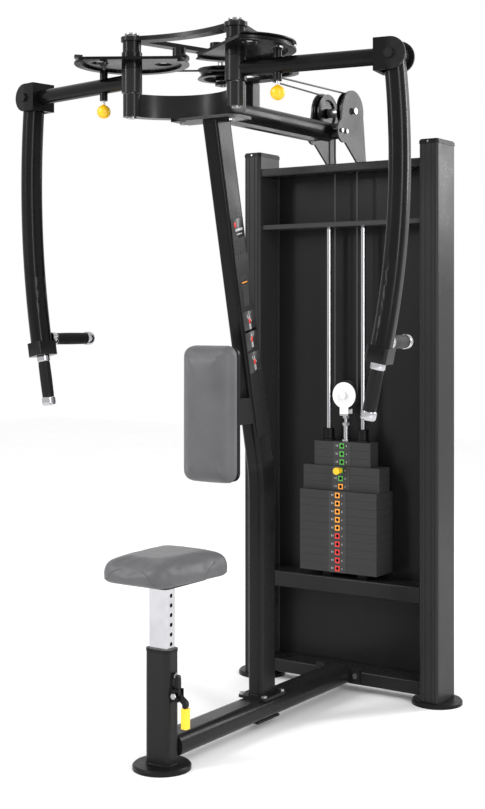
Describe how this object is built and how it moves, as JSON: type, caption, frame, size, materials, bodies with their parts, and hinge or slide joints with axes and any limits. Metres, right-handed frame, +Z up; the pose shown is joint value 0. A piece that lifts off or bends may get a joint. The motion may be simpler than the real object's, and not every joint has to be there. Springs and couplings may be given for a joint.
{
  "type": "pec fly and rear delt machine",
  "caption": "Butterfly and reverse fly gym machine: two overhead cam-driven swing arms, adjustable seat, back pad and a shrouded weight stack tower.",
  "frame": {"origin": "on the floor, under the centre of the machine's box", "axes": "+Z up, +Y from the seat back to the weight tower, +X across the machine; it is mirror-symmetric in X apart from the seat lever"},
  "size_m": [1.276, 1.1664, 1.934],
  "materials": {
    "frame_steel": "satin powder coat, near black",
    "column_steel": "satin powder coat, charcoal",
    "black_plastic": "moulded, fine texture",
    "rubber": "matt",
    "upholstery": "grey vinyl with fine grain",
    "board": "black painted plywood",
    "chrome": "polished",
    "zinc": "zinc plated",
    "plate_iron": "black painted steel plate",
    "label": "black label strip with coloured squares",
    "yellow": "glossy yellow plastic",
    "white_disc": "white painted cheek",
    "cable": "black coated steel cable"
  },
  "bodies": {
    "frame": {"floor_feet": "black_plastic", "seat_sleeve": "frame_steel", "sleeve_bush": "black_plastic", "lever_bracket": "frame_steel", "base_beam": "frame_steel", "joint_plates": "frame_steel", "mast": "frame_steel", "mast_placard": "label", "pad_stub": "frame_steel", "backrest_board": "board", "backrest_pad": "upholstery", "yoke": "frame_steel", "rear_post": "frame_steel", "bridge_plate": "frame_steel", "pivot_shafts": "zinc", "top_beam": "frame_steel", "pulley_bracket": "frame_steel", "pulley_axles": "zinc", "tower_column_left": "column_steel", "tower_column_right": "column_steel", "column_caps": "black_plastic", "top_crossbar": "frame_steel", "shelf_bar": "column_steel", "stack_beam": "frame_steel", "bottom_beam": "frame_steel", "back_panel": "column_steel", "guide_rods": "chrome", "stack_buffers": "rubber", "parked_plates": "plate_iron", "parked_labels": "label", "frame_bolts": "zinc", "cable_run": "cable"},
    "stack": {"lifted_plates": "plate_iron", "lifted_labels": "label", "rod_bushes": "black_plastic", "selector_stem": "chrome", "hook_link": "zinc", "pulley_cheeks": "white_disc", "cable_drops": "cable", "cable_loop": "cable"},
    "selector_pin": {"selector_pin": "yellow"},
    "moving_pulley": {"moving_pulley": "black_plastic"},
    "top_pulley_left": {"top_pulley_left": "black_plastic"},
    "top_pulley_right": {"top_pulley_right": "black_plastic"},
    "idler_left": {"idler_left": "black_plastic"},
    "idler_right": {"idler_right": "black_plastic"},
    "cam_left": {"cam_left": "frame_steel"},
    "cam_right": {"cam_right": "frame_steel"},
    "arm_left": {"arm_left": "frame_steel"},
    "arm_right": {"arm_right": "frame_steel"},
    "pull_pin_left": {"pull_pin_left": "yellow"},
    "pull_pin_right": {"pull_pin_right": "yellow"},
    "forearm_left": {"forearm_left": "frame_steel", "handles_left": "rubber"},
    "forearm_right": {"forearm_right": "frame_steel", "handles_right": "rubber"},
    "seat": {"seat_post": "chrome", "seat_pad": "upholstery"},
    "seat_lever": {"seat_lever": "black_plastic", "lever_grip": "yellow"}
  },
  "joints": [
    {"name": "stack_lift", "type": "slide", "parent": "frame", "child": "stack", "axis": [0, 0, 1], "range_m": [0, 0.28], "deforming": ["cable_drops"]},
    {"name": "cam_left_turn", "type": "hinge", "parent": "frame", "child": "cam_left", "pos_m": [-0.171, -0.35425, 1.86], "axis": [0, 0, 1], "range_deg": [0, 107]},
    {"name": "cam_right_turn", "type": "hinge", "parent": "frame", "child": "cam_right", "pos_m": [0.171, -0.35425, 1.86], "axis": [0, 0, 1], "range_deg": [-107, 0]},
    {"name": "top_pulley_left_turn", "type": "hinge", "parent": "frame", "child": "top_pulley_left", "pos_m": [-0.04, 0.45275, 1.806], "axis": [1, 0, 0], "range_deg": [0, 300]},
    {"name": "top_pulley_right_turn", "type": "hinge", "parent": "frame", "child": "top_pulley_right", "pos_m": [0.04, 0.45275, 1.806], "axis": [1, 0, 0], "range_deg": [0, 300]},
    {"name": "idler_left_turn", "type": "hinge", "parent": "frame", "child": "idler_left", "pos_m": [-0.086, -0.04725, 1.86], "axis": [0, 0, 1], "range_deg": [-245, 0]},
    {"name": "idler_right_turn", "type": "hinge", "parent": "frame", "child": "idler_right", "pos_m": [0.086, -0.04725, 1.86], "axis": [0, 0, 1], "range_deg": [0, 245]},
    {"name": "moving_pulley_spin", "type": "hinge", "parent": "stack", "child": "moving_pulley", "pos_m": [0, 0.50675, 0.922], "axis": [0, 1, 0], "continuous": true},
    {"name": "selector_pin_pull", "type": "slide", "parent": "stack", "child": "selector_pin", "axis": [0, -1, 0], "range_m": [0, 0.09]},
    {"name": "arm_left_set", "type": "hinge", "parent": "cam_left", "child": "arm_left", "pos_m": [-0.171, -0.35425, 1.805], "axis": [0, 0, 1], "range_deg": [-65, 0]},
    {"name": "arm_right_set", "type": "hinge", "parent": "cam_right", "child": "arm_right", "pos_m": [0.171, -0.35425, 1.805], "axis": [0, 0, 1], "range_deg": [0, 65]},
    {"name": "pull_pin_left_pull", "type": "slide", "parent": "arm_left", "child": "pull_pin_left", "axis": [0, 0, -1], "range_m": [0, 0.016], "stiffness_N_per_m": 1200, "springref_m": -0.006},
    {"name": "pull_pin_right_pull", "type": "slide", "parent": "arm_right", "child": "pull_pin_right", "axis": [0, 0, -1], "range_m": [0, 0.016], "stiffness_N_per_m": 1200, "springref_m": -0.006},
    {"name": "forearm_left_swing", "type": "hinge", "parent": "arm_left", "child": "forearm_left", "pos_m": [-0.59214, -0.28377, 1.805], "axis": [0.165, 0.9863, 0], "range_deg": [-3, 8]},
    {"name": "forearm_right_swing", "type": "hinge", "parent": "arm_right", "child": "forearm_right", "pos_m": [0.59214, -0.28377, 1.805], "axis": [-0.165, 0.9863, 0], "range_deg": [-8, 3]},
    {"name": "seat_height", "type": "slide", "parent": "frame", "child": "seat", "axis": [0, 0, 1], "range_m": [-0.125, 0.05]},
    {"name": "seat_lever_press", "type": "hinge", "parent": "frame", "child": "seat_lever", "pos_m": [0.052, -0.44325, 0.197], "axis": [0, 1, 0], "range_deg": [0, 12], "stiffness_Nm_per_rad": 3, "springref_deg": -5.73}
  ],
  "couplings": [
    {"joint": "cam_left_turn", "follows": "stack_lift", "rad_per_m": 6.6667},
    {"joint": "cam_right_turn", "follows": "stack_lift", "rad_per_m": -6.6667},
    {"joint": "top_pulley_left_turn", "follows": "stack_lift", "rad_per_m": 18.519},
    {"joint": "top_pulley_right_turn", "follows": "stack_lift", "rad_per_m": 18.519},
    {"joint": "idler_left_turn", "follows": "stack_lift", "rad_per_m": -15.152},
    {"joint": "idler_right_turn", "follows": "stack_lift", "rad_per_m": 15.152}
  ]
}
